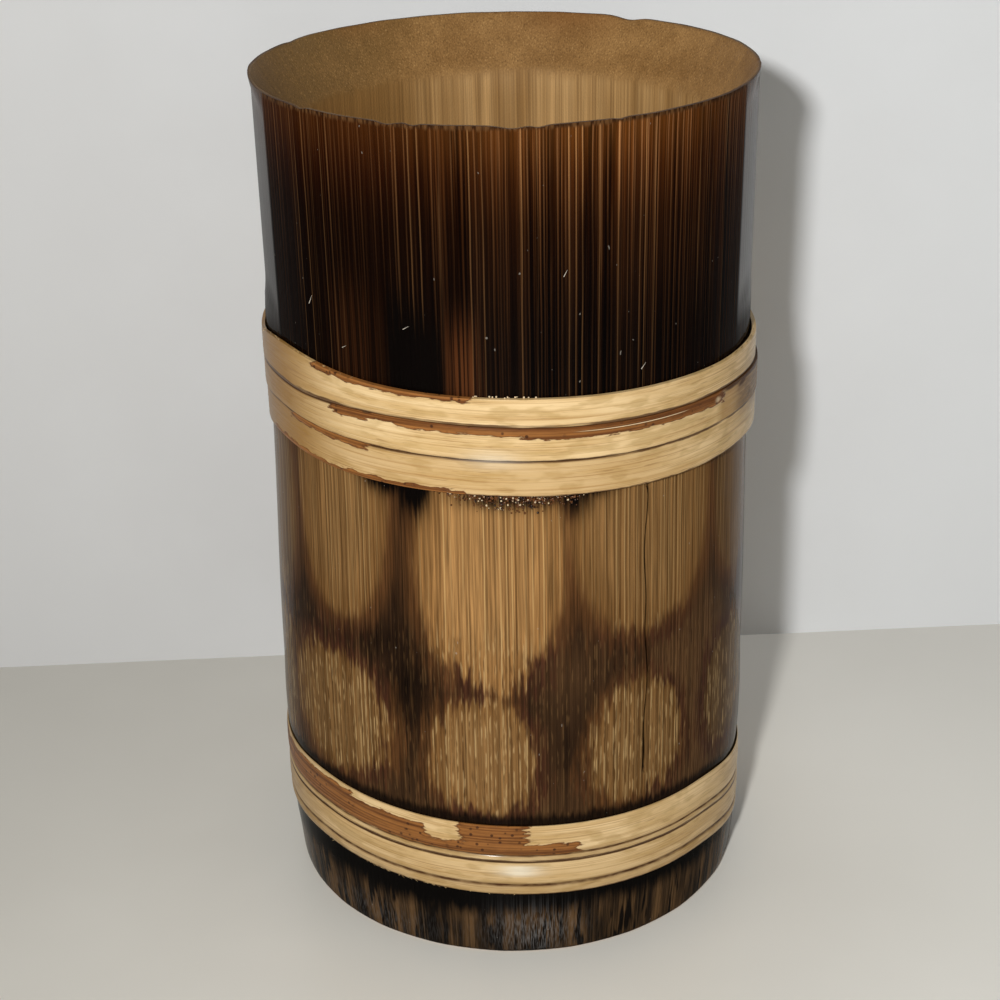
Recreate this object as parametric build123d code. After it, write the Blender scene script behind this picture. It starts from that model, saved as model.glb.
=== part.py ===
from build123d import *
from dataclasses import dataclass
from math import cos, pi, sin, sqrt
import os

# A drinking cup made of one length of bamboo culm, bound with two windings of split cane.
# The origin is the middle of the foot, +Z is up and -Y is the front. All sizes are in millimetres.

# Outside of the culm, which swells a little at its node and is drawn in under the upper winding
cup_height = 132.4
rim_radius = 37.5
node_swell = 0.4
waist_draw_in = 0.2
foot_draw_in = 0.3
foot_edge_break = 0.8

# Mouth, bore and the floor that grew at the node
wall_thickness = 6.0
rim_land = 0.6
rim_bevel_depth = 8.8
bore_draw_in = 0.7
floor_height = 15.0
floor_dish = 3.5
floor_thickness = 6.0
foot_ring_width = 7.5

# Split cane: flat against the culm, its outer edges eased to a shoulder
cane_thickness = 0.75
cane_ease_width = 0.7
cane_ease_depth = 0.2
cane_fit = 0.05
turn_gap = 0.45
end_taper_length = 26.0
end_tip_width = 0.9
end_overcut = 0.5
seat_margin = 1.0

# Upper winding: a plain strip, placed by its top edge at the front
upper_cane_width = 4.57
upper_turns = 3
upper_winding_drop = 37.3

# Lower winding: a strip with a groove that leaves a narrow lip below, placed by its bottom edge at the front
lower_ridge_width = 4.4
lower_groove_width = 0.5
lower_groove_depth = 0.25
lower_lip_width = 1.2
lower_turns = 2
lower_winding_rise = 12.7


@dataclass
class Winding:
    """One strip of cane, wound from the back of the culm and falling to the right across its front."""

    seat_radius: float
    turns: int
    front_top: float
    ridge: float
    groove: float = 0
    lip: float = 0

    def __post_init__(self):
        self.width = self.ridge + self.groove + self.lip
        self.pitch = self.width + turn_gap
        self.radius = self.seat_radius + cane_fit
        self.start = self.front_top - self.width / 2 + self.pitch / 2
        self.end = self.start - self.pitch * self.turns
        self.seat_top = self.start + self.width / 2 + seat_margin
        self.seat_bottom = self.end - self.width / 2 - seat_margin

    def point(self, turn):
        """Middle of the strip's inner face after so many turns from the back."""
        angle = pi / 2 + 2 * pi * turn
        return Vector(self.radius * cos(angle), self.radius * sin(angle), self.start - self.pitch * turn)

    def direction(self, turn):
        """Direction along the strip after so many turns."""
        angle = pi / 2 + 2 * pi * turn
        around = 2 * pi * self.radius
        return Vector(-around * sin(angle), around * cos(angle), -self.pitch).normalized()

    def path(self):
        """Half turns, each of two tangent arcs."""
        halves = [half / 2 for half in range(2 * self.turns + 1)]
        arcs = []
        for before, after in zip(halves, halves[1:]):
            arcs += biarc(
                self.point(before), self.direction(before), self.point(after), self.direction(after)
            )
        return Wire(arcs)

    def section(self):
        """Cross-section from the strip's top edge down: the eased ridge, then any groove and flat lip."""
        top = -self.width / 2
        bottom = self.width / 2
        ridge_end = top + self.ridge
        shoulder = cane_thickness - cane_ease_depth
        outline = [
            (0, bottom),
            (0, top),
            (shoulder, top),
            (cane_thickness, top + cane_ease_width),
            (cane_thickness, ridge_end - cane_ease_width),
            (shoulder, ridge_end),
        ]
        if self.groove:
            outline += [
                (shoulder - lower_groove_depth, ridge_end + self.groove / 2),
                (shoulder, ridge_end + self.groove),
                (shoulder, bottom),
            ]
        return make_face(Polyline(*outline, close=True))

    def solid(self):
        """The strip, kept upright along its path by a copy of the path straight above it."""
        path = self.path()
        guide = Pos(0, 0, self.width) * path
        start_plane = Plane(self.point(0), x_dir=(0, 1, 0), z_dir=self.direction(0))
        strip = sweep(start_plane * self.section(), path=path, binormal=guide)
        return strip - self.end_cuts()

    def end_cuts(self):
        """Slanting cuts that bring both ends of the strip, at the back of the culm, to narrow tips."""
        tip = self.start - self.width / 2 + end_tip_width
        full = self.start + self.width / 2
        above = self.start + self.width
        start_cut = [
            (end_overcut, above),
            (end_overcut, tip),
            (0, tip),
            (-end_taper_length, full),
            (-end_taper_length, above),
        ]
        end_cut = [(-across, self.start + self.end - height) for across, height in start_cut]
        reach = self.radius + 2 * cane_thickness
        return [
            extrude(Plane.XZ * Polygon(*outline, align=None), amount=reach, dir=(0, 1, 0))
            for outline in (start_cut, end_cut)
        ]

    def least_gap(self):
        """Least distance from the lower edge of a turn to the upper edge of the turn below, on points."""
        path = self.path()
        count_per_turn = 48
        count = count_per_turn * self.turns
        points = [path @ (step / count) for step in range(count + 1)]
        across = Vector(0, 0, self.width)
        return min(
            (upper - across - lower).length
            for index, upper in enumerate(points)
            for lower in points[index + count_per_turn // 2:]
        )


def biarc(start, start_direction, end, end_direction):
    """Two tangent arcs from one point and direction to another."""
    chord = end - start
    along = chord.dot(start_direction + end_direction)
    bend = 2 * (1 - start_direction.dot(end_direction))
    reach = (sqrt(along ** 2 + bend * chord.dot(chord)) - along) / bend
    first_corner = start + start_direction * reach
    last_corner = end - end_direction * reach
    middle = (first_corner + last_corner) * 0.5
    return [
        TangentArc(start, middle, tangent=start_direction),
        TangentArc(middle, end, tangent=last_corner - first_corner),
    ]


def bamboo_culm(upper, lower):
    """Culm turned from its half profile: straight under the windings, hollow to its grown floor."""
    up = (0, 1)
    outward = (1, 0)
    foot_radius = rim_radius - foot_draw_in
    foot_bore_radius = foot_radius - foot_ring_width
    bore_radius = rim_radius - wall_thickness
    floor_underside = floor_height - floor_thickness

    floor_middle = (0, floor_height)
    foot_side = (foot_radius, foot_edge_break)
    node_bottom = (lower.seat_radius, lower.seat_bottom)
    bore_bottom = (bore_radius - bore_draw_in, floor_height + floor_dish)
    foot = Polyline(
        floor_middle,
        (0, floor_underside),
        (foot_bore_radius, floor_underside),
        (foot_bore_radius, 0),
        (foot_radius - foot_edge_break, 0),
        foot_side,
    )
    wall = Polyline(
        node_bottom,
        (lower.seat_radius, lower.seat_top),
        (upper.seat_radius, upper.seat_bottom),
        (upper.seat_radius, upper.seat_top),
        (rim_radius, cup_height),
        (rim_radius - rim_land, cup_height),
        (bore_radius, cup_height - rim_bevel_depth),
        bore_bottom,
    )
    swell = Spline(foot_side, node_bottom, tangents=(up, up))
    floor = TangentArc(floor_middle, bore_bottom, tangent=outward)
    return revolve(Plane.XZ * make_face(Curve() + [foot, swell, wall, floor]), axis=Axis.Z)


upper_winding = Winding(
    seat_radius=rim_radius - waist_draw_in,
    turns=upper_turns,
    front_top=cup_height - upper_winding_drop,
    ridge=upper_cane_width,
)
lower_cane_width = lower_ridge_width + lower_groove_width + lower_lip_width
lower_winding = Winding(
    seat_radius=rim_radius + node_swell,
    turns=lower_turns,
    front_top=lower_winding_rise + lower_turns * (lower_cane_width + turn_gap) - turn_gap,
    ridge=lower_ridge_width,
    groove=lower_groove_width,
    lip=lower_lip_width,
)

os.makedirs("parts", exist_ok=True)
export_step(bamboo_culm(upper_winding, lower_winding), "parts/bamboo_culm.step")
for node, winding in (("upper_cane_winding", upper_winding), ("lower_cane_winding", lower_winding)):
    export_step(winding.solid(), f"parts/{node}.step")
    print(f"{node}: least gap between its turns {winding.least_gap():.2f} mm")
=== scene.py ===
import math

import bpy
import numpy as np
from mathutils import Matrix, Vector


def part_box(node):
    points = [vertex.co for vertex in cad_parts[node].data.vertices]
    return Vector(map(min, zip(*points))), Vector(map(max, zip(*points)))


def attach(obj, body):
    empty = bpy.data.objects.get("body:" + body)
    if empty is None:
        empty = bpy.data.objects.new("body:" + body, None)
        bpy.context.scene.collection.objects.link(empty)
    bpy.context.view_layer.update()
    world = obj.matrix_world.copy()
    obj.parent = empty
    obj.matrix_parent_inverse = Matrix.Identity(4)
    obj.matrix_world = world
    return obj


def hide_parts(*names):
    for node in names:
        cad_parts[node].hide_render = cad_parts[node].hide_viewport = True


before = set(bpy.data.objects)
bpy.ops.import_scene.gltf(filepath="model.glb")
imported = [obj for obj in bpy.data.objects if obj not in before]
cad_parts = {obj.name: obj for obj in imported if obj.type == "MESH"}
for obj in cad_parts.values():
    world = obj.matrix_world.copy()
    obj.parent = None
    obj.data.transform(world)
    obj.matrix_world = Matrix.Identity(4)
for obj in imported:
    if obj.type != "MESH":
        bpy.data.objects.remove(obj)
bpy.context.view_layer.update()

# Bamboo culm
# One length of bamboo cut just below a node, whose grown wall is the floor of the cup.
# The skin was shaved in long flats, scorched with a flame and lacquered, and the mouth bevelled inwards.
mm = 0.001
cup_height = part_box("bamboo_culm")[1].z / mm
node_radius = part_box("bamboo_culm")[1].x / mm
node_bottom = 8.4
node_top = 29.6
seat_radius = 37.3
seat_bottom = 77.0
seat_top = 98.6
glue_line = 82.0
rim_radius = 37.5
rim_land = 0.6
bevel_depth = 8.8
bore_radius = 31.5
bore_bottom_radius = 30.8
bore_bottom = 18.5
floor_middle = 15.0
floor_underside = 9.0
foot_radius = 37.2
foot_edge = 0.8
foot_bore_radius = 29.7
pole_radius = 1.0
columns = 420


def draw_rings(radius, height, stretches):
    """Extrudes the selected ring along each stretch of a half profile: (radius, height, rings)."""
    for end_radius, end_height, rings in stretches:
        start_radius, start_height = radius, height
        for ring in range(1, rings + 1):
            share = ring / rings
            new_radius = start_radius + (end_radius - start_radius) * share
            new_height = start_height + (end_height - start_height) * share
            step_up = (0, 0, (new_height - height) * mm)
            growth = new_radius / radius
            bpy.ops.mesh.extrude_region_move(TRANSFORM_OT_translate={"value": step_up})
            bpy.ops.transform.resize(value=(growth, growth, 1), center_override=(0, 0, new_height * mm))
            radius, height = new_radius, new_height


def places_of(piece):
    """The piece's vertices in millimetres, as an array."""
    flat = np.empty(3 * len(piece.data.vertices))
    piece.data.vertices.foreach_get("co", flat)
    return flat.reshape(-1, 3) / mm


def move_to(piece, places):
    piece.data.vertices.foreach_set("co", (places * mm).ravel())
    piece.data.update()


def paint(piece, name, values):
    """Keeps one number for each vertex, for the piece's finish to read."""
    layer = piece.data.attributes.new(name, "FLOAT", "POINT")
    layer.data.foreach_set("value", np.asarray(values, np.float32))


def rise(values, low, high):
    """Smooth step from 0 at low to 1 at high."""
    share = np.clip((values - low) / (high - low), 0, 1)
    return share * share * (3 - 2 * share)


def between(values, low, full, fading, gone):
    """Smooth rise from 0 at low to 1 at full, then fall from 1 at fading to 0 at gone."""
    return rise(values, low, full) * (1 - rise(values, fading, gone))


def bell(values, middle, spread):
    """1 at the middle, fading to 0 on both sides."""
    return np.exp(-(((values - middle) / spread) ** 2))


def ripple(angle, height, counts, wavelength, seed):
    """Smooth unevenness from -1 to 1: waves round the cup that drift with height."""
    draw = np.random.default_rng(seed)
    total = np.zeros_like(angle)
    for count in counts:
        drift = draw.uniform(-1, 1) * 2 * math.pi * height / wavelength
        total += np.sin(count * angle + draw.uniform(0, 2 * math.pi) + drift)
    return total / len(counts)


bpy.ops.object.select_all(action="DESELECT")
bpy.ops.mesh.primitive_circle_add(vertices=columns, radius=(foot_radius - foot_edge) * mm)
culm = bpy.context.object
culm.name = "bamboo_culm_torched"
bpy.ops.object.mode_set(mode="EDIT")
bpy.ops.mesh.select_all(action="SELECT")
draw_rings(
    foot_radius - foot_edge,
    0,
    [
        (foot_radius - 0.2, 0.3, 1),
        (foot_radius, foot_edge, 1),
        (node_radius, node_bottom, 6),
        (node_radius, node_top, 8),
        (seat_radius, seat_bottom, 48),
        (seat_radius, glue_line, 7),
        (seat_radius, seat_top, 7),
        (rim_radius, cup_height - 0.3, 34),
        (rim_radius, cup_height, 1),
        (rim_radius - rim_land, cup_height, 1),
        (bore_radius, cup_height - bevel_depth, 14),
        (bore_bottom_radius, bore_bottom, 26),
        (30.0, 17.4, 2),
        (20.0, 16.0, 4),
        (pole_radius, floor_middle, 6),
    ],
)
bpy.ops.mesh.merge(type="CENTER")
bpy.ops.object.mode_set(mode="OBJECT")
places = places_of(culm)
foot_ring = (places[:, 2] < 0.01) & (np.hypot(places[:, 0], places[:, 1]) > foot_bore_radius)
culm.data.vertices.foreach_set("select", foot_ring)
bpy.ops.object.mode_set(mode="EDIT")
draw_rings(
    foot_radius - foot_edge,
    0,
    [
        (foot_bore_radius, 0, 4),
        (foot_bore_radius, floor_underside, 5),
        (pole_radius, floor_underside, 8),
    ],
)
bpy.ops.mesh.merge(type="CENTER")
bpy.ops.mesh.select_all(action="SELECT")
bpy.ops.mesh.normals_make_consistent(inside=False)
bpy.ops.object.mode_set(mode="OBJECT")

places = places_of(culm)
height = places[:, 2].copy()
radius = np.hypot(places[:, 0], places[:, 1])
angle = np.arctan2(places[:, 0], -places[:, 1])
degrees = np.degrees(angle)
outside = radius > rim_radius - rim_land + 0.03
rim_edge = rise(height, cup_height - 1.5, cup_height) * rise(radius, rim_radius - 2.5, rim_radius - 0.7)
bevelled = rise(height, cup_height - bevel_depth - 6, cup_height - bevel_depth) * ~outside

# The flats run the whole length, and only the two at the sides were shaved deep, above the upper winding
left_edge = -92
right_edge = 64
deepest_flat = 1.1
draw = np.random.default_rng(11)
back_edges = np.arange(-270, -100, 17) + draw.uniform(-3, 3, 10)
front_edges = [left_edge, -64, -50, -36, -20, -4, 13, 29, 45, right_edge]
flat_edges = np.concatenate([back_edges, front_edges, [back_edges[0] + 360]])
unrolled = np.where(degrees > flat_edges[-1], degrees - 360, degrees)
flat = np.clip(np.searchsorted(flat_edges, unrolled) - 1, 0, len(flat_edges) - 2)
flat_start = flat_edges[flat]
flat_end = flat_edges[flat + 1]
half_flat = np.radians(flat_end - flat_start) / 2
from_middle = np.radians(unrolled - (flat_end + flat_start) / 2)
flat_depth = np.clip(radius * (1 - np.cos(half_flat) / np.cos(from_middle)), 0, deepest_flat)
side_flat = (flat_start == left_edge) | (flat_start == right_edge)
cleared = np.where(side_flat, 0.1 + 0.75 * rise(height, 97.5, 101.5), 0.2)
shaved = cleared * flat_depth * (1 - 0.8 * rise(height, cup_height - 4, cup_height))
fibre = 0.02 * ripple(angle, height, (97, 131, 173, 211), 400, 5)
hollows = 0.06 * (1 + ripple(angle, height, (3, 5, 8), 90, 6))
belly = 0.25 * bell(height, 48, 18)
belly += 0.18 * between(height, 20, 26, 30, 38) * rise(np.abs(degrees), 60, 80)
radius -= outside * (shaved + hollows + fibre + 0.02 - belly)

# A drying crack wanders up the skin at the right, one column wide and widest above the lower winding
crack_angle = 31.3
crack_bottom = 29
crack_top = 80
crack_depth = 0.6
column_width = 2 * math.pi * rim_radius / columns
nearest_column = column_width / 2 + 1e-3
crack_wander = 0.25 * np.sin(height / 6.0) + 0.15 * np.sin(height / 2.3)
crack_gape = 0.22 + 0.12 * bell(height, 34, 4)
crack_run = outside * between(height, crack_bottom, crack_bottom + 3, crack_top - 3, crack_top)
crack_side = np.radians(degrees - crack_angle) * rim_radius
from_crack = np.abs(crack_side)
in_crack = crack_run * (from_crack < nearest_column)
beside_crack = crack_run * (from_crack >= nearest_column) * (from_crack < 1.6 * column_width)
radius -= crack_depth * in_crack
angle += in_crack * crack_wander / rim_radius
angle += beside_crack * (crack_wander - np.sign(crack_side) * (column_width - crack_gape)) / rim_radius

chips = np.zeros_like(angle)
for chip_angle, chip_width, chip_depth in (
    (-24.5, 2.2, 0.35),
    (-19.0, 1.4, 0.3),
    (1.5, 3.0, 0.45),
    (6.5, 1.8, 0.35),
    (24.0, 1.2, 0.2),
    (-48.0, 1.5, 0.25),
    (147.0, 3.5, 0.5),
    (-118.0, 2.0, 0.12),
    (88.0, 1.8, 0.3),
):
    chips = np.maximum(chips, chip_depth * bell(degrees, chip_angle, chip_width))
height -= rim_edge * (chips + 0.1 + 0.05 * ripple(angle, height, (9, 17, 31), 1000, 8))
height += bevelled * (1 - rim_edge) * 0.35 * ripple(angle, height, (4, 7, 11), 1000, 9)
in_bore = ~outside & (height > 20) & (radius > 29)
radius += in_bore * (0.05 * ripple(angle, height, (61, 83, 109), 500, 10) - 0.05)


def lean(height):
    """How far the culm grew aside at each height: a little to the left at its node."""
    return -0.30 * between(height, 5, 16, 35, 80)


def beside(front):
    """1 at both sides of the cup, 0 at its front and back, by the angle from the front."""
    return between(np.abs(front), 48, 86, 112, 172)


def lower_sag(front):
    """How far the lower winding was let down, most of all at the right."""
    left_sag = 2.0
    right_sag = 3.2
    slope = 0.4 * np.sin(np.radians(front)) * (1 - rise(np.abs(front), 120, 175))
    return slope + np.where(front < 0, left_sag, right_sag) * beside(front)


across = radius * np.sin(angle) + outside * lean(height)
move_to(culm, np.stack([across, -radius * np.cos(angle), height], axis=1))

# The flame was held off in two rows of spots: angle, height, half width, half height, narrowing and tone
top_row = 70.5
low_row = 39.0
first_hidden = 66.5
spot_step = 36
squareness = 2.4
spots = [
    (-43.5, 72.0, 14.5, 16.5, 0.20, 0.66),
    (-5.0, 67.5, 16.5, 18.5, 0.12, 1.0),
    (33.0, 71.5, 19.5, 16.0, 0.14, 0.68),
    (-46.5, 39.0, 16.5, 10.5, 0.0, 0.58),
    (-7.0, 36.5, 12.0, 10.0, -0.1, 0.72),
    (30.5, 37.0, 12.5, 10.0, -0.2, 0.60),
]
draw = np.random.default_rng(23)
for count in range(7):
    around = first_hidden + spot_step * count
    dim = 0.5 if count in (0, 6) else 1.0
    spots.append((
        around + draw.uniform(-3, 3),
        top_row + draw.uniform(-2, 2),
        draw.uniform(13, 16),
        draw.uniform(14, 19),
        draw.uniform(0.05, 0.25),
        dim * draw.uniform(0.65, 1.0),
    ))
    spots.append((
        around + draw.uniform(-3, 3),
        low_row + draw.uniform(-2, 1),
        draw.uniform(11, 14),
        draw.uniform(9, 12),
        draw.uniform(-0.1, 0.1),
        dim * draw.uniform(0.55, 0.8),
    ))
spot = np.full_like(angle, 3.0)
glow = np.ones_like(angle)
for middle, level, half_width, half_height, narrowing, tone in spots:
    along = (height - level) / half_height
    width = half_width * np.clip(1 + narrowing * along, 0.5, 1.5)
    sideways = ((degrees - middle + 180) % 360 - 180) / width
    from_spot = (np.abs(sideways) ** squareness + np.abs(along) ** squareness) ** (1 / squareness)
    glow = np.where(from_spot < spot, tone, glow)
    spot = np.minimum(spot, from_spot)
paint(culm, "spot", spot)
paint(culm, "glow", glow)
# Painted shade: the crack's column is marked so that it is coloured nearly black, as the shade inside the
# crack
paint(culm, "crack", in_crack)
on_flats = np.where(degrees < 0, 0.22 + 0.04 * rise(height, 103, 122), 0.33)
low_sides = 0.35 * rise(np.abs(degrees), 48, 76) * (1 - rise(height, 78, 84))
paint(culm, "lacquer", 0.12 + low_sides + side_flat * rise(height, 95.5, 98) * on_flats)


def patch(middle, level, half_width, half_height, sharpness=2):
    """A soft-edged patch of the skin, 1 in its middle, by its angle from the front and its height."""
    across = ((degrees - middle + 180) % 360 - 180) / half_width
    along = (height - level) / half_height
    return np.exp(-(np.abs(across) ** sharpness) - np.abs(along) ** sharpness)


drip = patch(-20.3, 97.0, 6.5, 60.0, 10) * rise(height, 86, 90)
scorch = drip * (1 - rise(height + 0.5 * (degrees + 20), 100, 113))
for middle, level, half_width, half_height, strength in (
    (-22.0, 82.0, 5.0, 7.0, 1.3),
    (-28.0, 81.5, 8.0, 3.5, 1.3),
    (14.5, 82.0, 5.0, 6.0, 1.3),
    (18.0, 81.0, 8.0, 3.0, 1.1),
    (1.0, 79.6, 17.0, 2.6, 0.9),
    (-30.0, 54.0, 14.0, 3.5, 0.5),
    (-24.0, 47.0, 6.0, 9.0, 0.6),
    (10.0, 45.5, 6.0, 7.0, 0.3),
    (13.0, 36.0, 4.0, 7.0, 0.4),
    (-66.0, 56.0, 7.0, 8.0, 0.4),
):
    scorch = np.maximum(scorch, strength * patch(middle, level, half_width, half_height))
for around in range(85, 280, spot_step):
    uneven = math.sin(around)
    scorch = np.maximum(scorch, 0.5 * patch(around, 52 + 4 * uneven, 9, 5))
    scorch = np.maximum(scorch, 1.2 * patch(around, 82, 6, 5 + 2 * uneven))
paint(culm, "scorch", scorch)

# The lower winding's top edge, which tapers in from the back, has a thin line of painted shade above it
lower_front_top = 25.3
lower_width = 6.1
lower_pitch = 6.55
taper_length = 26.0
taper_tip = 0.9
from_start = (degrees + 180) / 360 * 2 * math.pi * node_radius
lower_top = lower_front_top - lower_pitch * degrees / 360 - lower_sag(degrees)
lower_top -= (lower_width - taper_tip) * np.clip(1 - from_start / taper_length, 0, 1)
paint(culm, "above_cane", height - lower_top)

near_rim = 0.28 * rise(height, 99, cup_height) + 0.54 * rise(height, 117, cup_height + 1)
warmth = 0.45 + 0.55 * patch(28, cup_height, 26, 60)
paint(culm, "amber", outside * near_rim * warmth)
paint(culm, "ruddy", patch(-50, 116, 34, 50, 4) + 0.35 * patch(150, 116, 60, 50))
pale = 0.8 * patch(-9.5, 94, 4, 11, 4) + 0.2 * patch(-35, 97, 7, 12, 4)
pale += 0.7 * patch(46, 42, 18, 18) + 0.35 * patch(0, 26, 70, 14) + 0.4 * patch(13, 50, 8, 8)
paint(culm, "pale", pale)
paint(culm, "stain", ~outside * (patch(163, cup_height, 12, 3) + 0.5 * patch(-140, cup_height, 9, 2)))
# Painted reflection: a pale grey patch low on the front of the foot, where the lit table top is mirrored
paint(culm, "floor_reflection", 0.8 * patch(4, 4.5, 9, 4) + 0.3 * patch(-40, 3, 20, 3))


class Socket:
    """One output of a finish's nodes. Sums written with it become Math nodes."""

    def __init__(self, tree, output):
        self.tree = tree
        self.output = output

    def node(self, kind, settings=None, sockets=None, output=0):
        """Another node of the same finish: its settings first, then the values or links of its sockets."""
        made = self.tree.nodes.new("ShaderNode" + kind)
        for name, value in (settings or {}).items():
            setattr(made, name, value)
        for name, value in (sockets or {}).items():
            if isinstance(value, Socket):
                self.tree.links.new(value.output, made.inputs[name])
            else:
                made.inputs[name].default_value = value
        return Socket(self.tree, made.outputs[output])

    def other(self, output):
        """Another output of the same node."""
        return Socket(self.tree, self.output.node.outputs[output])

    def math(self, operation, first, second=0.0):
        return self.node("Math", {"operation": operation}, {0: first, 1: second})

    def __add__(self, other):
        return self.math("ADD", self, other)

    def __sub__(self, other):
        return self.math("SUBTRACT", self, other)

    def __rsub__(self, other):
        return self.math("SUBTRACT", other, self)

    def __mul__(self, other):
        return self.math("MULTIPLY", self, other)

    def __truediv__(self, other):
        return self.math("DIVIDE", self, other)

    __radd__ = __add__
    __rmul__ = __mul__

    def most(self, other):
        return self.math("MAXIMUM", self, other)

    def rise(self, low, high):
        """Smooth step from 0 at low to 1 at high."""
        limits = {"Value": self, "From Min": low, "From Max": high}
        return self.node("MapRange", {"interpolation_type": "SMOOTHSTEP"}, limits)

    def mix(self, first, second):
        """The first colour where this is 0, the second where it is 1."""
        return self.node("Mix", {"data_type": "RGBA"}, {0: self, 6: first, 7: second}, output=2)

    def times(self, colour):
        """The colour, made darker or lighter by this number."""
        grey = self.node("CombineColor", {}, {0: self, 1: self, 2: self})
        multiply = {"data_type": "RGBA", "blend_type": "MULTIPLY"}
        return self.node("Mix", multiply, {0: 1.0, 6: colour, 7: grey}, output=2)


class Finish:
    """A material of a piece, with its shader and the piece's own coordinates."""

    def __init__(self, piece, name, **even):
        self.material = bpy.data.materials.new(name)
        self.material.use_nodes = True
        self.tree = self.material.node_tree
        self.shader = self.tree.nodes["Principled BSDF"]
        for socket, value in even.items():
            self.shader.inputs[socket.replace("_", " ")].default_value = value
        piece.data.materials.append(self.material)
        self.place = Socket(self.tree, None).node("TexCoord", output="Object")
        axes = self.place.node("SeparateXYZ", {}, {0: self.place})
        self.x = axes / mm
        self.y = axes.other(1) / mm
        self.height = axes.other(2) / mm
        self.around = self.x.math("ARCTAN2", self.x, self.y * -1.0) * rim_radius

    def painted(self, name):
        return self.place.node("Attribute", {"attribute_name": name}, {}, output="Fac")

    def noise(self, place, detail):
        return self.place.node("TexNoise", {}, {"Vector": place, "Scale": 1.0, "Detail": detail})

    def grain(self, across, along, detail=2.0, seed=0.0):
        """Noise whose grains are so many millimetres across and along the culm, about 0.5 in the mean."""
        size = (1 / (across * mm), 1 / (across * mm), 1 / (along * mm))
        stretched = self.place.node(
            "VectorMath", {"operation": "MULTIPLY_ADD"}, {0: self.place, 1: size, 2: (seed, seed, seed)}
        )
        return self.noise(stretched, detail)

    def lines(self, count):
        """Lines at uneven places, about one for each whole count: the way to the nearest."""
        uneven = {"W": count, "Scale": 1.0, "Randomness": 0.9}
        return self.place.node("TexVoronoi", {"voronoi_dimensions": "1D"}, uneven)

    def fibres(self, spacing, seed):
        """Straight fibres so many millimetres apart: the way to the nearest, and its own number."""
        sway = self.grain(5.0, 30.0, seed=seed)
        nearest = self.lines((self.around + 0.5 * sway) / spacing + 97.0 * seed)
        return nearest, nearest.other("Color")

    def feed(self, **sockets):
        for name, value in sockets.items():
            self.tree.links.new(value.output, self.shader.inputs[name.replace("_", " ")])

    def bump(self, relief, depth):
        """Feeds the shader's normal with a relief of so many millimetres."""
        bump = self.place.node("Bump", {}, {"Strength": 1.0, "Distance": depth * mm, "Height": relief})
        self.tree.links.new(bump.output, self.shader.inputs["Normal"])


def ink(red, green, blue):
    """A colour as the screen shows it, 0 to 255, made linear."""
    shown = np.array((red, green, blue)) / 255
    linear = np.where(shown > 0.04, ((shown + 0.055) / 1.055) ** 2.4, shown / 12.92)
    return (*linear.tolist(), 1.0)


skin = Finish(culm, "torched_skin", Specular_IOR_Level=0.0, Coat_IOR=1.3, Coat_Roughness=0.05)
above = skin.height.rise(88, 92)
below = skin.height.rise(20, 15)
hair = skin.grain(0.16, 45, seed=1)
fine = skin.grain(0.32, 60, seed=2)
run = skin.grain(0.8, 26, seed=3)
broad = skin.grain(2.2, 90, detail=3.0, seed=4)
wide = skin.grain(8.0, 50, seed=5)
feather = skin.grain(0.5, 6, detail=3.0, seed=6)
dash_run = skin.grain(0.6, 2.8, detail=1.0, seed=7)
dark_dash = skin.grain(0.26, 3.6, detail=1.0, seed=8)
fleck = skin.grain(0.42, 0.7, detail=0.0, seed=9)
tooth = skin.grain(0.7, 5, detail=2.0, seed=19)
smut = skin.grain(1.1, 14, detail=2.0, seed=21)
thin_way, thin_chance = skin.fibres(0.72, 2)
bold_way, bold_chance = skin.fibres(1.50, 3)
slight_way, slight_chance = skin.fibres(0.44, 13)
groove_way, groove_chance = skin.fibres(0.80, 5)
dash_way, dash_chance = skin.fibres(0.62, 11)
thin = thin_way.rise(0.20, 0.09) * (thin_chance + 1.1 * (run - 0.5)).rise(0.25, 0.8)
slight = slight_way.rise(0.24, 0.10) * (slight_chance + 1.2 * (run - 0.5)).rise(0.3, 0.8)
bold = bold_way.rise(0.085, 0.03) * (bold_chance + 0.8 * (run - 0.5)).rise(0.40, 0.75)
groove = groove_way.rise(0.26, 0.06) * (groove_chance + 1.2 * (run - 0.5)).rise(0.15, 0.8)
dash = dash_way.rise(0.30, 0.12) * (dash_run + 0.25 * (dash_chance - 0.5)).rise(0.46, 0.62)

# Above the upper winding the scorch is nearly black, with amber threads that brighten towards the rim
amber = skin.painted("amber")
ruddy = skin.painted("ruddy")
pale_skin = skin.painted("pale")
char = broad.rise(0.38, 0.66).mix(ink(4, 2, 2), ink(16, 8, 5))
glowing = 0.05 + 0.4 * broad.rise(0.3, 0.6) + 0.55 * fine.rise(0.4, 0.64)
char = (amber * glowing).mix(char, ink(94, 48, 15))
char = (ruddy * 0.85).mix(char, amber.rise(0.0, 0.5).mix(ink(11, 4, 2), ink(48, 17, 4)))
char = (pale_skin * (0.10 + 0.75 * fine.rise(0.42, 0.62))).mix(char, ink(96, 54, 27))
char = (skin.height.rise(124, cup_height) * amber * (0.05 + 0.35 * broad)).mix(char, ink(132, 82, 32))
thread_show = (0.05 + 0.62 * amber) * (1 - 0.5 * ruddy)
char = (slight * 0.8 * thread_show).mix(char, ink(136, 84, 44))
char = (thin * thread_show).mix(char, ink(160, 108, 66))
char = (bold * (0.06 + 0.9 * thread_show)).mix(char, ink(194, 140, 88))

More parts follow.
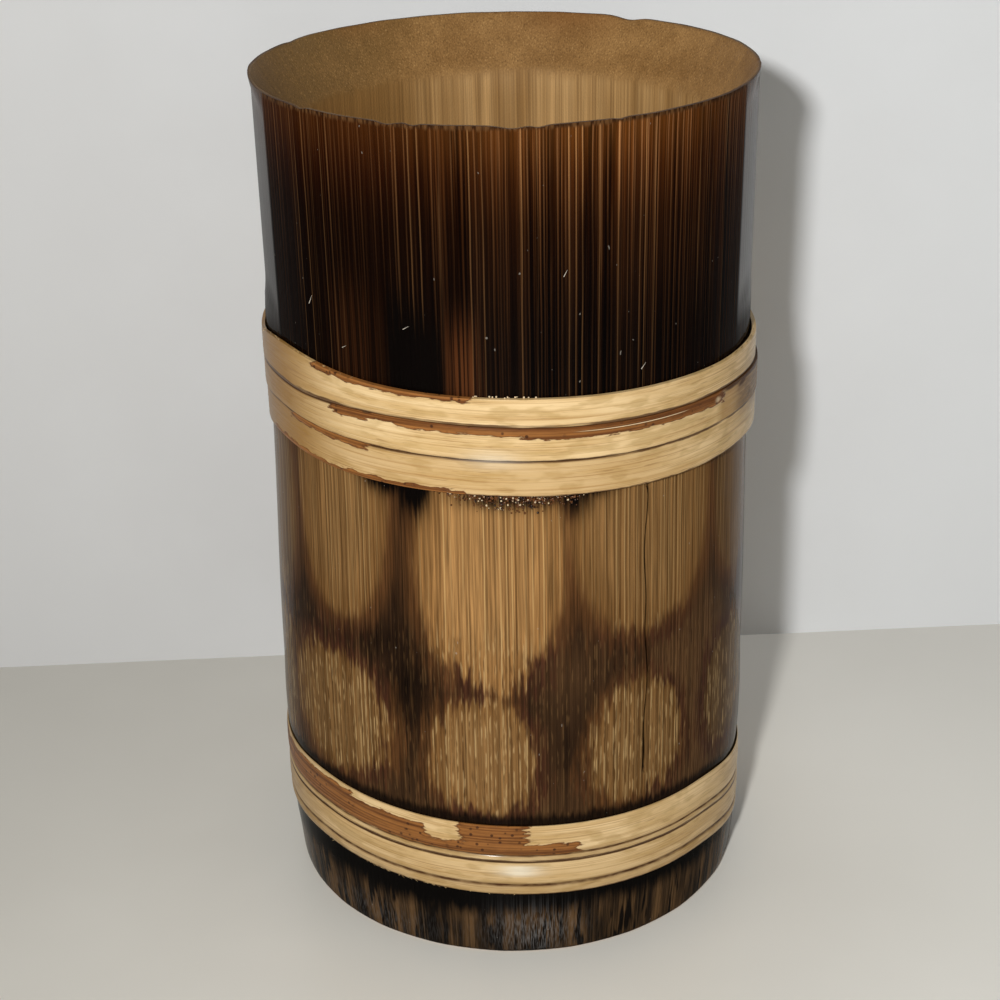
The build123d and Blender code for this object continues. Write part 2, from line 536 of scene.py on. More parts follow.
# Between the windings the flame left soft-edged golden spots on a dark ground, dashed in the lower row
spot_glow = skin.painted("glow")
dashed = (skin.height + 8 * (wide - 0.5) + 4 * (feather - 0.5)).rise(60, 53)
spot_edge = skin.painted("spot") + 0.20 * (feather - 0.5) + 0.24 * (wide - 0.5)
spot_edge = spot_edge + 0.7 * dashed * (tooth - 0.5)
in_spot = spot_edge.rise(1.10, 0.90)
ground = (pale_skin + 0.7 * (wide - 0.5)).rise(0.0, 0.8).mix(ink(42, 27, 16), ink(96, 68, 42))
brown_ring = (dashed * wide.rise(0.4, 0.6)).mix(ink(88, 57, 31), ink(68, 39, 26))
browned = spot_edge.rise(1.40, 1.05).mix(ground, brown_ring)
gold = spot_glow.times(spot_edge.rise(0.5, 1.0).mix(ink(156, 116, 70), ink(142, 102, 58)))
gold = in_spot.mix(browned, gold)
gold = (1 + 1.5 * (fine - 0.5) + 1.2 * (hair - 0.5) + 0.5 * (broad - 0.5)).times(gold)
pale_thread = in_spot.mix(ink(112, 80, 48), spot_glow.times(ink(212, 172, 114)))
gold = (thin * (0.15 + 0.33 * in_spot)).mix(gold, pale_thread)
gold = (groove * (0.38 + 0.30 * in_spot)).mix(gold, in_spot.mix(ink(26, 17, 10), ink(92, 61, 30)))
dash_colour = in_spot.mix(ink(116, 86, 53), ink(198, 165, 114))
gold = (dash * dashed * (0.42 + 0.10 * in_spot)).mix(gold, dash_colour)
gold = (dark_dash.rise(0.56, 0.70) * dashed * 0.45).mix(gold, ink(58, 38, 21))

# The foot under the lower winding is smoked dark brown
smoke = broad.rise(0.38, 0.66).mix(ink(28, 21, 15), ink(98, 73, 47))
smoke = (thin * 0.25).mix(smoke, ink(112, 88, 60))
smoke = (groove * 0.5).mix(smoke, ink(18, 13, 10))
smoke = smut.rise(0.46, 0.36).mix(smoke, ink(20, 15, 11))
smoke = (skin.height + 3.5 * (wide - 0.5) + 3 * (feather - 0.5)).rise(6.5, 10).mix(smoke, ink(10, 8, 7))
# Painted reflection of the lit table top, pale grey on the front of the foot
smoke = (skin.painted("floor_reflection") * hair.rise(0.42, 0.64) * 0.5).mix(smoke, ink(150, 148, 146))

colour = below.mix(above.mix(gold, char), smoke)
# Painted shade: a ragged dark line just above the lower winding's top edge, joined with the real scorch
# patches and mixed to near black
shade_over_cane = (skin.painted("above_cane") + 3.0 * (feather - 0.5)).rise(2.2, 0.1) * skin.height.rise(14, 16)
scorch_and_shade = (skin.painted("scorch") * (0.3 + 1.4 * feather)).most(shade_over_cane * 0.75)
colour = scorch_and_shade.rise(0.05, 0.95).mix(colour, ink(8, 5, 4))
# Painted shade inside the crack, nearly black
colour = (skin.painted("crack") * (0.6 + 0.8 * feather)).rise(0.15, 0.6).mix(colour, ink(12, 7, 4))
rim_line = (skin.height + 0.8 * (feather - 0.5)).rise(cup_height - 0.9, cup_height - 0.3)
colour = rim_line.mix(colour, feather.rise(0.42, 0.6).mix(ink(50, 30, 16), ink(92, 62, 35)))
colour = (fleck.rise(0.875, 0.90) * 0.35).mix(colour, ink(176, 168, 156))
skin.feed(Base_Color=colour, Roughness=0.36 + 0.14 * broad, Coat_Weight=skin.painted("lacquer"))
skin.bump(hair + fine + thin - groove + 0.8 * dash * dashed, 0.05)

# The cut faces are bare: speckled end grain on the bevel, and long veins down the bore
cut = Finish(culm, "cut_bamboo", Specular_IOR_Level=0.12)
out_squared = cut.x * cut.x + cut.y * cut.y
out_from_axis = out_squared.math("SQRT", out_squared)
mottle = cut.grain(5.0, 5.0, detail=3.0, seed=11)
speck = cut.grain(0.22, 0.40, detail=2.0, seed=12)
vein = cut.grain(0.28, 30, detail=2.0, seed=13)
band = cut.grain(2.4, 70, detail=2.0, seed=14)
vein_way, vein_chance = cut.fibres(0.8, 7)
bevel_foot = cup_height - bevel_depth
on_bevel = (cut.height + 2.5 * (band - 0.5) + 1.5 * (mottle - 0.5)).rise(bevel_foot - 1.2, bevel_foot + 1.6)
bevel = mottle.rise(0.3, 0.7).mix(ink(142, 104, 58), ink(164, 124, 74))
bevel = (cut.x + 14 * (mottle - 0.5)).rise(-6, -34).mix(bevel, ink(126, 96, 54))
bevel = (1 + 1.2 * (speck - 0.5)).times(bevel)
bevel = (speck.rise(0.62, 0.72) * 0.35).mix(bevel, ink(206, 168, 114))
bevel = (speck.rise(0.38, 0.28) * 0.4).mix(bevel, ink(96, 64, 31))
mouth_edge = (out_from_axis + 0.7 * (mottle - 0.5)).rise(rim_radius - 0.9, rim_radius - 0.1)
bevel = mouth_edge.mix(bevel, ink(70, 45, 25))
bore = band.rise(0.25, 0.75).mix(ink(152, 114, 66), ink(196, 156, 102))
# Painted shade: the bore is made darker towards its left side
bore = (cut.x + 6 * (band - 0.5)).rise(-4, -22).mix(bore, ink(138, 102, 56))
bore = (1 + 1.1 * (vein - 0.5)).times(bore)
bore = (vein_way.rise(0.30, 0.08) * vein_chance.rise(0.2, 0.9) * 0.4).mix(bore, ink(116, 84, 46))
# Painted shade: the bore is made darker further down, towards its floor
bore = (cut.height + 4 * (band - 0.5)).rise(60, 15).mix(bore, ink(96, 68, 38))
bore = cut.height.rise(14, 11).mix(bore, ink(150, 116, 76))
bare = on_bevel.mix(bore, bevel)
bare = (cut.painted("stain") * mottle * 0.9).mix(bare, ink(126, 74, 28))
cut.feed(Base_Color=bare, Roughness=0.50 + 0.2 * mottle)
cut.bump(speck + 0.8 * vein, 0.06)

for face in culm.data.polygons:
    face.material_index = 0 if all(outside[corner] for corner in face.vertices) else 1
bpy.ops.object.shade_smooth_by_angle(angle=math.radians(35))
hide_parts("bamboo_culm")
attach(culm, "root")

# Upper cane winding
# One strip of split cane, flat inside and eased at its edges, wound three times round the culm.
# It was drawn tight by hand and glued, with strips of brown bark left on, and tapers out at the back.
section_points = 34
inner_points = 6
steps_per_turn = 264
cane_fit = 0.05
upper_turns = 3
upper_width = 4.57
upper_pitch = 5.02
upper_inner = seat_radius + cane_fit


def wind(name, node, turns, pitch, width, inner_radius, depth_at):
    """A strip wound down from the back of the cup: the piece, and each vertex's turn, drop and depth."""
    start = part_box(node)[1].z / mm
    bpy.ops.object.select_all(action="DESELECT")
    bpy.ops.mesh.primitive_circle_add(vertices=section_points)
    strip = bpy.context.object
    strip.name = name
    outer_points = section_points - inner_points
    drops = np.concatenate([np.linspace(0, width, outer_points), np.linspace(width, 0, inner_points)])
    depths = np.concatenate([depth_at(drops[:outer_points]), np.zeros(inner_points)])
    move_to(strip, np.stack([0 * drops, inner_radius + depths, start - drops], axis=1))
    screw = strip.modifiers.new("winding", "SCREW")
    screw.axis = "Z"
    screw.screw_offset = -pitch * mm
    screw.iterations = turns
    screw.steps = steps_per_turn
    screw.render_steps = steps_per_turn
    bpy.ops.object.modifier_apply(modifier=screw.name)
    bpy.ops.object.mode_set(mode="EDIT")
    bpy.ops.mesh.select_all(action="SELECT")
    bpy.ops.mesh.fill_holes(sides=section_points)
    bpy.ops.mesh.normals_make_consistent(inside=False)
    bpy.ops.object.mode_set(mode="OBJECT")
    step = np.arange(len(strip.data.vertices)) // section_points
    point = np.arange(len(strip.data.vertices)) % section_points
    return strip, step / steps_per_turn, drops[point], depths[point]


def taper(turn, turns, width, inner_radius):
    """How far the top edge falls at the strip's start, and its bottom edge rises at its end."""
    arc = 2 * math.pi * inner_radius
    start = (width - taper_tip) * np.clip(1 - turn * arc / taper_length, 0, 1)
    end = (width - taper_tip) * np.clip(1 - (turns - turn) * arc / taper_length, 0, 1)
    return start, end


def front_angle(turn):
    """Degrees from the cup's front, left below 0, after so many turns from its back."""
    return (turn % 1) * 360 - 180


def bark_left(turn, drop, inner_radius, patches):
    """Millimetres inside the nearest edge of a patch: (turn, from angle, to angle, from drop, to drop)."""
    front = front_angle(turn)
    inside = np.full_like(turn, -3.0)
    for number, left, right, top, bottom in patches:
        sides = np.radians(np.minimum(front - left, right - front)) * inner_radius / 4
        edges = np.minimum(drop - top, bottom - drop)
        within = np.where(np.floor(turn) == number, np.minimum(sides, edges), -3.0)
        inside = np.maximum(inside, within)
    return inside


def ridges(drop, spacing, shift=0.0):
    """Fine lengthwise ridges of a strip, so many millimetres apart."""
    return np.sin(2 * math.pi * drop / spacing + shift)


def eased(drop):
    """Depth of the plain strip's outer face, rounded off towards both edges."""
    return 0.60 + 0.08 * (1 - np.abs(2 * drop / upper_width - 1) ** 10)


def upper_bottom_edge(turn):
    """How far each turn's bottom edge strays from an even winding. The first is widest at the left."""
    stray = 0.42 * (1 - rise(turn, 1.6, 2.2)) - bell(turn, 0.33, 0.06)
    return stray + 0.06 * np.sin(7.3 * turn + 0.4) + 0.04 * np.sin(31 * turn)


upper, turn, drop, depth = wind(
    "upper_cane_winding_straw",
    "upper_cane_winding",
    upper_turns,
    upper_pitch,
    upper_width,
    upper_inner,
    eased,
)
places = places_of(upper)
angle = np.arctan2(places[:, 0], -places[:, 1])
front = front_angle(turn)
number = np.floor(turn)
strand = np.minimum(turn, upper_turns - 1).astype(int)
share = drop / upper_width
outer = depth > 0
sway = 0.06 * np.sin(9.1 * turn) + 0.05 * np.sin(23.7 * turn + 1) + 0.03 * np.sin(61 * turn + 2)
first_top = 0.8 * rise(turn, 0.6, 1.0) + 0.8 * bell(turn, 0.345, 0.045) + sway
top_edge = np.where(turn < 1, first_top, upper_bottom_edge(turn - 1) + 0.36)
bottom_edge = upper_bottom_edge(turn)
start_fall, end_rise = taper(turn, upper_turns, upper_width, upper_inner)
lift = (1 - share) * (top_edge - start_fall) + share * (bottom_edge + end_rise)
sag = 0.5 * np.sin(np.radians(np.clip(front, -15, 180))) * (1 - rise(np.abs(front), 120, 175))
sag += np.where(front < 0, 1.7, 0.8) * beside(front) * rise(np.abs(front), 58, 84)
bark = bark_left(
    turn,
    drop,
    upper_inner,
    [
        (0, -48, -8, -1.0, 0.7),
        (1, -26, 10, -1.0, 1.15),
        (1, 2, 54, -1.0, 1.6),
        (1, 46, 55, -1.0, 1.7),
        (1, -42, -32, -1.0, 1.3),
        (1, -32, -22, -1.0, 0.8),
        (2, -58, -32, -1.0, 0.7),
        (2, -70, -10, 4.0, 6.0),
        (0, 110, 150, -1.0, 0.8),
        (1, 100, 160, -1.0, 1.0),
        (2, -150, -105, -1.0, 0.9),
    ],
)
stand_off = between(front, 40, 85, 100, 160) * np.choose(strand, (0.1, 0.5, 0.3))
hug = between(-front, 35, 70, 110, 170) * np.choose(strand, (-0.15, -0.2, -0.38))
knob = (number == 1) * bell(front, 52, 1.9) * bell(drop, 0.9, 0.7)
relief = 0.015 * ridges(drop, 0.83, 1.3 * np.sin(4 * turn)) + 0.012 * ridges(drop, 0.47, turn)
relief += 0.22 * knob + 0.06 * rise(bark, -0.1, 0.15)
radius = np.hypot(places[:, 0], places[:, 1]) + stand_off + outer * (hug + relief)
level = places[:, 2] + lift - sag
move_to(upper, np.stack([radius * np.sin(angle), -radius * np.cos(angle), level], axis=1))
top_line = (turn < 1) & (drop == 0) & outer
upper_top = (front[top_line], level[top_line])


def cane_finish(strip, name, width, seed, **layers):
    """Pale straw with fine lengthwise grain, dirt and some painted shade, painted highlights and brown
    bark, under lacquer.
    """
    for layer, values in layers.items():
        paint(strip, layer, values)
    cane = Finish(strip, name, Specular_IOR_Level=0.1, Coat_Roughness=0.15, Coat_IOR=1.4)
    along = cane.painted("along")
    across = cane.painted("across")
    dirt = cane.painted("dirt")
    gleam = cane.painted("gleam")

    def lengthwise(length, breadth, detail, shift):
        """Noise whose grains are so many millimetres along and across the strip."""
        sizes = {0: along / length, 1: across / breadth, 2: seed + shift}
        return cane.noise(cane.place.node("CombineXYZ", {}, sizes), detail)

    hair = lengthwise(18.0, 0.13, 2.0, 0.0)
    thread = lengthwise(40.0, 0.35, 2.0, 7.3)
    cloud = lengthwise(14.0, 2.5, 3.0, 3.1)
    pore = lengthwise(3.5, 0.11, 1.0, 5.7)
    ragged = lengthwise(2.2, 0.55, 4.0, 9.9)
    dots_here = lengthwise(9.0, 4.0, 1.0, 12.3)
    line_run = lengthwise(24.0, 0.5, 1.0, 15.1)
    broken = lengthwise(8.0, 0.6, 2.0, 17.7)
    streak = lengthwise(34.0, 0.8, 2.0, 21.3)
    blotch = lengthwise(5.0, 1.5, 2.0, 25.7)
    row_spacing = 0.34
    row = cane.lines((across + 0.25 * thread) / row_spacing + 13.0 * seed)
    line = row.rise(0.22, 0.06) * line_run.rise(0.46, 0.62)
    straw = cloud.rise(0.3, 0.7).mix(ink(208, 172, 115), ink(236, 204, 152))
    straw = (hair.rise(0.5, 0.72) * 0.45).mix(straw, ink(244, 218, 170))
    straw = (streak.rise(0.54, 0.70) * 0.5).mix(straw, ink(194, 154, 95))
    straw = (blotch.rise(0.50, 0.64) * 0.5).mix(straw, ink(184, 150, 92))
    straw = (cane.painted("tan") * (0.4 + 0.8 * cloud)).mix(straw, ink(166, 124, 64))
    straw = (line * 0.42).mix(straw, ink(156, 112, 60))
    straw = (thread.rise(0.42, 0.24) * 0.5).mix(straw, ink(172, 130, 78))
    straw = (pore.rise(0.61, 0.69) * cloud.rise(0.62, 0.42) * 0.4).mix(straw, ink(132, 90, 48))
    uneven = across + 0.35 * (ragged - 0.5)
    edge_dirt = uneven.rise(0.24, 0.05).most(uneven.rise(width - 0.20, width - 0.04))
    straw = (edge_dirt * (0.25 + 0.65 * broken.rise(0.34, 0.52))).mix(straw, ink(84, 52, 26))
    # Dirt, and painted shade at a few places, darken the straw to brown here
    straw = (dirt * (0.2 + 1.2 * ragged)).mix(straw, ink(80, 50, 24))
    # Painted highlight: the straw is mixed towards near white where the highlight layer is high; one pale
    # bare line through the bark is drawn the same way
    straw = (gleam * (0.4 + 0.6 * hair)).mix(straw, ink(255, 247, 226))

    inside = cane.painted("bark") + 1.3 * (ragged - 0.5)
    bark_here = inside.rise(-0.05, 0.08) * (1 - gleam.rise(0.2, 0.4))
    bark_edge = inside.rise(-0.12, 0.0) * inside.rise(0.22, 0.05)
    dots_per_metre = 900.0
    scattered = {"Vector": cane.place, "Scale": dots_per_metre, "Randomness": 1.0}
    dots = cane.place.node("TexVoronoi", {}, scattered)
    brown = thread.rise(0.35, 0.65).mix(ink(104, 61, 28), ink(152, 99, 50))
    brown = (dots.rise(0.30, 0.16) * dots_here.rise(0.42, 0.56) * 0.85).mix(brown, ink(58, 30, 18))
    brown = (1 + 0.9 * (hair - 0.5) + 0.7 * (ragged - 0.5)).times(brown)
    brown = (hair.rise(0.55, 0.7) * 0.25).mix(brown, ink(176, 124, 70))
    brown = (bark_edge * 0.6).mix(brown, ink(84, 46, 24))
    cane.feed(
        Base_Color=bark_here.mix(straw, brown),
        Roughness=0.34 + 0.2 * cloud,
        Coat_Weight=0.34 - 0.25 * bark_here.most(dirt),
    )
    cane.bump(hair + 0.8 * thread + 1.2 * bark_here, 0.05)


# The upper strip is browner at its left side, partly brown stain and partly painted shade; the same layer
# holds the real tan of the third turn, the knob and a stain at the right
tan = 0.42 * rise(turn, 1.9, 2.1) * (1 - between(front, 20, 50, 120, 170)) + knob
tan += 1.4 * between(-front, 36, 66, 95, 130) + 0.8 * (number == 1) * between(front, 52, 55, 80, 110)
left_grime_and_shade = 0.2 * between(-front, 48, 74, 95, 130)
right_grime = 0.8 * (number == 1) * between(front, 57, 66, 85, 110)
# Painted shade in the gap where the second turn tucks under the first at the right: a dark line along its
# top edge and a black spot
right_gap_shade = 1.7 * (number == 1) * between(front, 53, 58, 85, 110) * (1 - rise(drop, 0.25, 0.8))
right_smear = 0.5 * (number == 2) * between(front, 56, 75, 90, 120) * (1 - rise(drop, 0.2, 2.5))
gap_shade_spot = 1.6 * (number == 1) * bell(front, 64, 2.5) * bell(drop, 0.6, 0.7)
seam = 1.3 * (number > 0) * (1 - rise(drop, 0.03, 0.28)) * (1 - rise(front, 5, 45))
seam *= 1 - rise(np.abs(front), 100, 150)
# Painted highlights on the front of the second and third turns and on top of the knob; the bright line is a
# pale line of bare straw through the bark
painted_shine = (number == 1) * rise(drop, 2.4, 4.4) + 0.6 * (number == 2) * (1 - rise(drop, 0.4, 1.6))
bright_line = (number == 1) * between(front, 8, 16, 40, 47) * bell(drop, 0.68 + 0.004 * (front - 28), 0.12)
cane_finish(
    upper,
    "upper_split_cane",
    upper_width,
    1.0,
    along=turn * 2 * math.pi * upper_inner,
    across=drop + 0.3 * (1 - rise(turn, 0.8, 1.0)),
    bark=bark,
    dirt=np.maximum.reduce([left_grime_and_shade, right_grime, right_gap_shade, right_smear, gap_shade_spot, seam]),
    tan=tan,
    gleam=0.5 * painted_shine * bell(front, -4, 6) + 0.4 * knob + 0.42 * bright_line,
)
bpy.ops.object.shade_smooth_by_angle(angle=math.radians(50))
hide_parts("upper_cane_winding")
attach(upper, "root")

# Lower cane winding
# A second strip of split cane, wound twice round the swelling of the node and glued.
# A groove along it leaves a narrow lip below, and much of its left side still has its brown bark.
lower_turns = 2
lower_ridge = 4.4
lower_groove = 0.5
lower_lip = lower_width - lower_ridge - lower_groove
lower_inner = node_radius + cane_fit
lower_level = 20.0


def ridge_and_lip(drop):
    """Depth of the outer face: the rounded ridge, the groove, and the lower lip."""
    ridge = 0.20 + 0.16 * (1 - np.abs(2 * np.clip(drop / lower_ridge, 0, 1) - 1) ** 4)
    past = np.clip((drop - lower_ridge - lower_groove) / lower_lip, 0, 1)
    lip = 0.18 + 0.12 * (1 - np.abs(2 * past - 1) ** 3)
    groove = np.abs(drop - lower_ridge - lower_groove / 2) < lower_groove / 2
    return np.where(drop <= lower_ridge, ridge, np.where(groove, 0.06, lip))


lower, turn, drop, depth = wind(
    "lower_cane_winding_straw",
    "lower_cane_winding",
    lower_turns,
    lower_pitch,
    lower_width,
    lower_inner,
    ridge_and_lip,
)
places = places_of(lower)
angle = np.arctan2(places[:, 0], -places[:, 1])
front = front_angle(turn)
outer = depth > 0
on_ridge = np.clip(drop / lower_ridge, 0, 1)
past_ridge = np.clip((drop - lower_ridge) / (lower_width - lower_ridge), 0, 1)
start_fall, end_rise = taper(turn, lower_turns, lower_width, lower_inner)
fuller = rise(turn, 0.1, 0.35)
fuller_again = rise(turn - 1, 0.1, 0.35)
first_top = 0.3 * rise(turn, 0.5, 1.0) + 0.05 * np.sin(12 * turn)
top_edge = np.where(turn < 1, first_top, 0.35 - 0.37 * fuller_again)
ridge_edge = np.where(turn < 1, -0.75 * fuller, -0.75 + 1.1 * fuller_again) + 0.05 * np.sin(9 * turn)
bottom_edge = np.where(turn < 1, -0.35 * fuller, -0.35 + 0.5 * fuller_again) + 0.06 * np.sin(6.1 * turn)
lift = top_edge - start_fall * (1 - on_ridge) + (ridge_edge - top_edge) * on_ridge
lift += (bottom_edge - ridge_edge) * past_ridge + end_rise * drop / lower_width
bark = bark_left(
    turn,
    drop,
    lower_inner,
    [
        (0, -140, -42, 0.45, 4.6),
        (0, -60, -21, 1.0, 4.6),
        (0, -28, -9, 2.9, 4.6),
        (0, -13, 3, -1.0, 4.6),
        (0, -4, 15, 2.6, 4.6),
        (0, 120, 165, 2.0, 4.5),
        (1, -160, -120, -1.0, 2.0),
    ],
)
relief = 0.012 * ridges(drop, 0.74, np.sin(5 * turn)) + 0.008 * ridges(drop, 0.43)
relief += 0.04 * rise(bark, -0.1, 0.15) - 0.12 * beside(front)
radius = np.hypot(places[:, 0], places[:, 1]) + outer * relief
across = radius * np.sin(angle) + lean(lower_level)
level = places[:, 2] + lift - lower_sag(front)
move_to(lower, np.stack([across, -radius * np.cos(angle), level], axis=1))

not_back = 1 - rise(np.abs(front), 120, 170)
second_turn = rise(turn, 0.95, 1.1)
# The lower strip is browner towards both sides, most at the left: partly stain, partly painted shade
tan = not_back * (0.5 * rise(-front, 40, 80) + 0.15 * rise(front, 40, 80)) + 0.2 * second_turn
grime_and_shade = 0.2 * not_back * rise(-front, 50, 85)
grime_and_shade += 0.25 * (drop > lower_ridge) * (1 - rise(np.abs(front - 20), 20, 90))
in_groove = 1.3 * bell(drop, lower_ridge + lower_groove / 2, 0.28)
seam = second_turn * (1 - rise(drop, 0.03, 0.22))
low_left = 0.5 * not_back * (turn > 1) * rise(drop, 4.4, 6.0) * rise(-front, 5, 40)
cane_finish(
    lower,
    "lower_split_cane",
    lower_width,
    31.0,
    along=turn * 2 * math.pi * lower_inner,
    across=drop + 0.3 * (1 - rise(turn, 0.8, 1.0)),
    bark=bark,
    dirt=np.maximum.reduce([grime_and_shade, in_groove, seam, low_left]),
    tan=tan,
    # Painted highlight on the front of the second turn's ridge
    gleam=0.9 * (turn > 1) * between(drop, 0.3, 0.9, 2.2, 3.2) * bell(front, 1, 4.5),
)
bpy.ops.object.shade_smooth_by_angle(angle=math.radians(50))
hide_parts("lower_cane_winding")
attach(lower, "root")

# Glue beads
# Drops of amber glue that were pressed out under the front of the upper winding and set in grains.
# A row of smaller ones stands along the winding's top edge. A share of the low beads and all of the top row
# are coloured pale as painted glints.
low_beads = 700
top_beads = 18
painted_glint_share = 0.12
upper_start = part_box("upper_cane_winding")[1].z / mm


def start_empty(name):
    """A new piece without vertices, open for editing."""
    bpy.ops.object.select_all(action="DESELECT")
    bpy.ops.mesh.primitive_ico_sphere_add(subdivisions=1, radius=mm)
    piece = bpy.context.object
    piece.name = name
    bpy.ops.object.mode_set(mode="EDIT")
    bpy.ops.mesh.select_all(action="SELECT")
    bpy.ops.mesh.delete(type="VERT")
    return piece


def point_at(around, out, level):
    """A place in metres, by its angle from the front, its distance from the axis and its height."""
    turned = math.radians(around)
    return (out * mm * math.sin(turned), -out * mm * math.cos(turned), level * mm)


draw = np.random.default_rng(61)
beads = []
for count in range(low_beads):
    around = draw.triangular(-17, 4, 18)
    foot = upper_start - (upper_turns - 0.5) * upper_pitch - upper_width - upper_pitch * around / 360
    fall = abs(draw.normal(0, 1.1)) * (1 - (around / 24) ** 2)
    beads.append((around, foot - fall, seat_radius - 0.12, draw.uniform(0.07, 0.19)))
for count in range(top_beads):
    around = draw.uniform(-9, 6)
    head = upper_start - upper_pitch / 2 - upper_pitch * around / 360
    beads.append((around, head + draw.uniform(0.05, 0.25), seat_radius + 0.25, draw.uniform(0.07, 0.15)))
glue = start_empty("glue_beads")
for around, level, out, size in beads:
    bpy.ops.mesh.primitive_ico_sphere_add(
        subdivisions=2,
        radius=size * mm,
        location=point_at(around, out, level),
        scale=(1.0, 0.8, draw.uniform(0.7, 1.2)),
    )
bpy.ops.object.mode_set(mode="OBJECT")
# Painted highlights: these beads are coloured near white as glints
painted_glint = 0.8 * (draw.uniform(size=len(beads)) < painted_glint_share) + (np.arange(len(beads)) >= low_beads)
paint(glue, "painted_glint", np.repeat(painted_glint, len(glue.data.vertices) // len(beads)))
resin = Finish(glue, "amber_glue", Roughness=0.15, Specular_IOR_Level=0.3)
clot = resin.grain(0.8, 0.8, detail=2.0, seed=51)
amber_glue = clot.rise(0.35, 0.65).mix(ink(34, 17, 8), ink(104, 62, 28))
resin.feed(Base_Color=resin.painted("painted_glint").mix(amber_glue, ink(226, 202, 164)))
bpy.ops.object.shade_smooth()
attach(glue, "root")

# Frayed fibres
# Single fibres that lifted from the cut edges of the cane when it was split and wound.
# A few more are stuck in the lacquer of the skin, where they look like pale scratches.
low_frays = 110
top_frays = 60
stuck_fibres = ((-22, 104), (-48, 105), (-38, 99.5), (-26, 52), (33, 62), (-21, 38), (30, 97), (12, 112))
root_radius = 0.05
tip_radius = 0.015
lower_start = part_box("lower_cane_winding")[1].z / mm
draw = np.random.default_rng(67)
frays = []
for count in range(low_frays):
    around = draw.triangular(-70, -30, 5)
    edge = lower_start - (lower_turns - 0.5) * lower_pitch - lower_width - lower_pitch * around / 360
    level = edge + 0.35 + draw.uniform(-0.2, 0.1)
    frays.append((around, level, lower_inner + 0.1, draw.uniform(0.6, 1.6), draw.normal(-12, 16)))
for count in range(top_frays):
    around = draw.choice([draw.uniform(-76, -36), draw.uniform(50, 82)])
    level = np.interp(around, *upper_top) + draw.uniform(-0.1, 0.15)
    frays.append((around, level, upper_inner + 0.4, draw.uniform(0.4, 1.5), draw.normal(8, 18)))
for around, level in stuck_fibres:
    frays.append((around, level, seat_radius + 0.02, draw.uniform(0.7, 1.5), draw.uniform(20, 70)))
fibres = start_empty("cane_frays")
for around, level, out, length, slope in frays:
    bpy.ops.mesh.primitive_cone_add(
        vertices=5,
        radius1=root_radius * mm,
        radius2=tip_radius * mm,
        depth=length * mm,
        location=point_at(around, out, level),
        rotation=(draw.normal(0, 0.12), math.radians(90 - slope), math.radians(around)),
    )
bpy.ops.object.mode_set(mode="OBJECT")
stuck = np.arange(len(frays)) >= low_frays + top_frays
paint(fibres, "stuck", np.repeat(stuck, len(fibres.data.vertices) // len(frays)))
hairs = Finish(fibres, "frayed_cane", Roughness=0.5)
shade = hairs.grain(0.9, 0.9, detail=1.0, seed=53)
straw_hair = shade.rise(0.35, 0.65).mix(ink(120, 86, 44), ink(226, 196, 140))
hairs.feed(Base_Color=hairs.painted("stuck").mix(straw_hair, ink(206, 196, 180)))
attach(fibres, "root")

# Floor and backdrop
# A pale lacquered table top, and close behind the cup a pale grey wall, a little askew to the picture.
# Only what looks straight at the wall sees it, so that it keeps no light from the back of the cup.
table_size = 3.0
wall_distance = 61.5
wall_skew = 0.055
wall_reach = 1500
painted_light_span = 400
bpy.ops.object.select_all(action="DESELECT")
bpy.ops.mesh.primitive_plane_add(size=table_size)
table = bpy.context.object
table.name = "table_top"
table_top = Finish(table, "table_lacquer", Roughness=0.35)
table_cloud = table_top.grain(60, 60, detail=3.0, seed=41)
# Painted light: the table top is paler towards the right, with some uneven tone
table_painted_light = (table_top.x / painted_light_span + 0.3 * (table_cloud - 0.5)).rise(-0.3, 0.3)
table_top.feed(Base_Color=table_painted_light.mix(ink(218, 214, 203), ink(253, 250, 240)))

bpy.ops.object.select_all(action="DESELECT")
bpy.ops.mesh.primitive_plane_add(size=1.0)
wall = bpy.context.object
wall.name = "wall"
side = np.array([-1, 1, -1, 1]) * wall_reach
level = np.array([0, 0, 1, 1]) * wall_reach
move_to(wall, np.stack([side, wall_distance + wall_skew * side, level], axis=1))
plaster = Finish(wall, "wall_paint", Roughness=0.8)
wall_cloud = plaster.grain(25, 25, detail=4.0, seed=43)
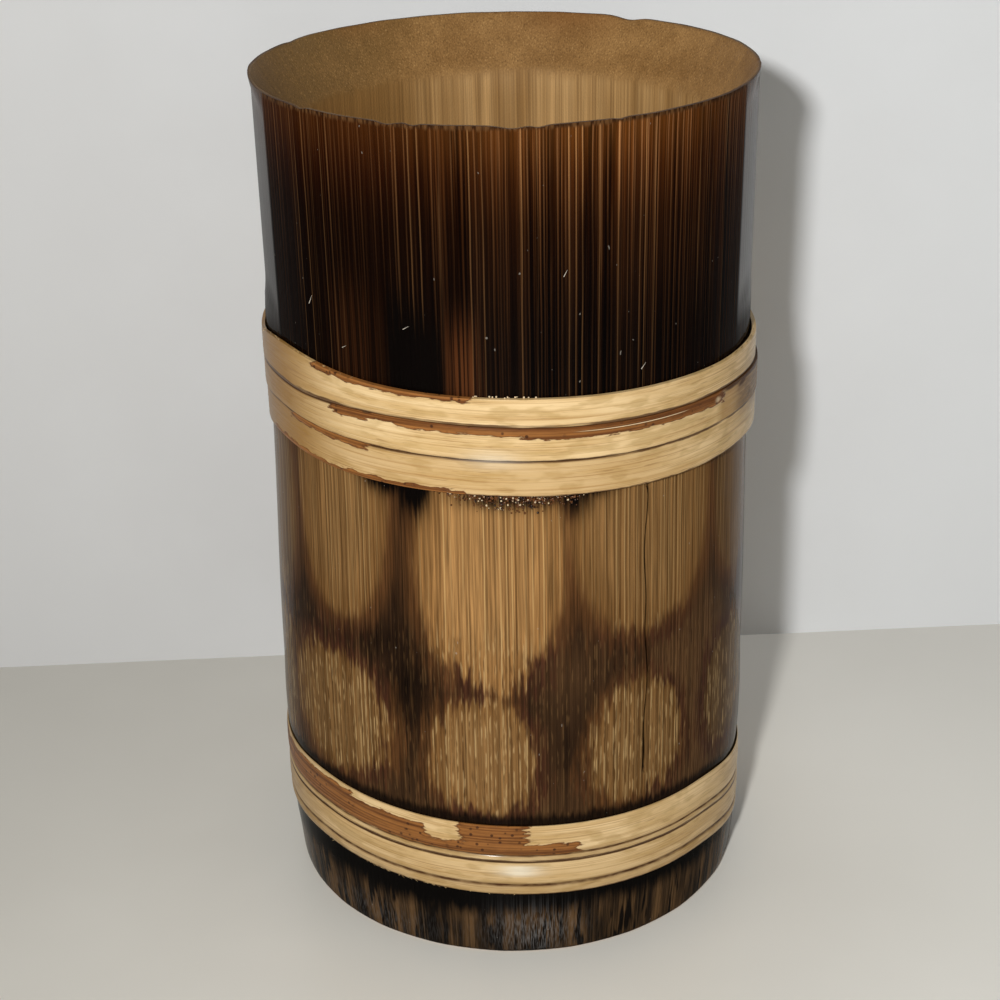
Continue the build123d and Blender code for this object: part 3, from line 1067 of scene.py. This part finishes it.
# Painted light: the wall is paler towards the right, with some uneven tone
wall_painted_light = (plaster.x / painted_light_span + 0.2 * (wall_cloud - 0.5)).rise(-0.3, 0.3)
plaster.feed(Base_Color=wall_painted_light.mix(ink(226, 226, 225), ink(250, 252, 253)))
camera_ray = plaster.place.node("LightPath", output="Is Camera Ray")
behind = plaster.place.node("NewGeometry", output="Backfacing")
seen = camera_ray.most(camera_ray.other("Is Glossy Ray")) * (1 - behind)
clear = plaster.place.node("BsdfTransparent")
painted_wall = Socket(plaster.tree, plaster.shader.outputs[0])
surface = plaster.place.node("MixShader", {}, {0: seen, 1: clear, 2: painted_wall})
plaster.tree.links.new(surface.output, plaster.tree.nodes["Material Output"].inputs["Surface"])

# Lights
# A small lamp just left of the camera, as the flash was.
# Soft light comes from all round, more of it from behind.
bpy.ops.object.light_add(type="AREA", location=(-0.040, -0.290, 0.225))
key = bpy.context.object
key.name = "key_lamp"
key.data.shape = "DISK"
key.data.size = 0.02
key.data.energy = 0.82
key.rotation_euler = (math.radians(62), 0, math.radians(-8))
world = bpy.data.worlds.new("room")
bpy.context.scene.world = world
world.use_nodes = True
room = Socket(world.node_tree, None).node("TexCoord", output="Generated")
rearward = room.node("SeparateXYZ", {}, {0: room}, output="Y").rise(0.0, 0.7)
strength = 0.14 + 0.50 * rearward
background = world.node_tree.nodes["Background"]
background.inputs["Color"].default_value = (1, 1, 1, 1)
world.node_tree.links.new(strength.output, background.inputs["Strength"])

# Camera
# It stands as the photograph's did, above the rim and looking down at the cup.
camera_yaw = 0.0064
camera_dip = 0.4392
camera_roll = -0.0196
bpy.ops.object.camera_add()
camera = bpy.context.object
camera.name = "photo_camera"
camera.data.sensor_width = 36.0
camera.data.lens = 69.84
camera.data.clip_start = 0.01
camera.matrix_world = (
    Matrix.Translation((0, -0.2837, 0.1949))
    @ Matrix.Rotation(camera_yaw, 4, "Z")
    @ Matrix.Rotation(math.pi / 2 - camera_dip, 4, "X")
    @ Matrix.Rotation(camera_roll, 4, "Z")
)
bpy.context.scene.camera = camera
bpy.context.scene.view_settings.view_transform = "Standard"
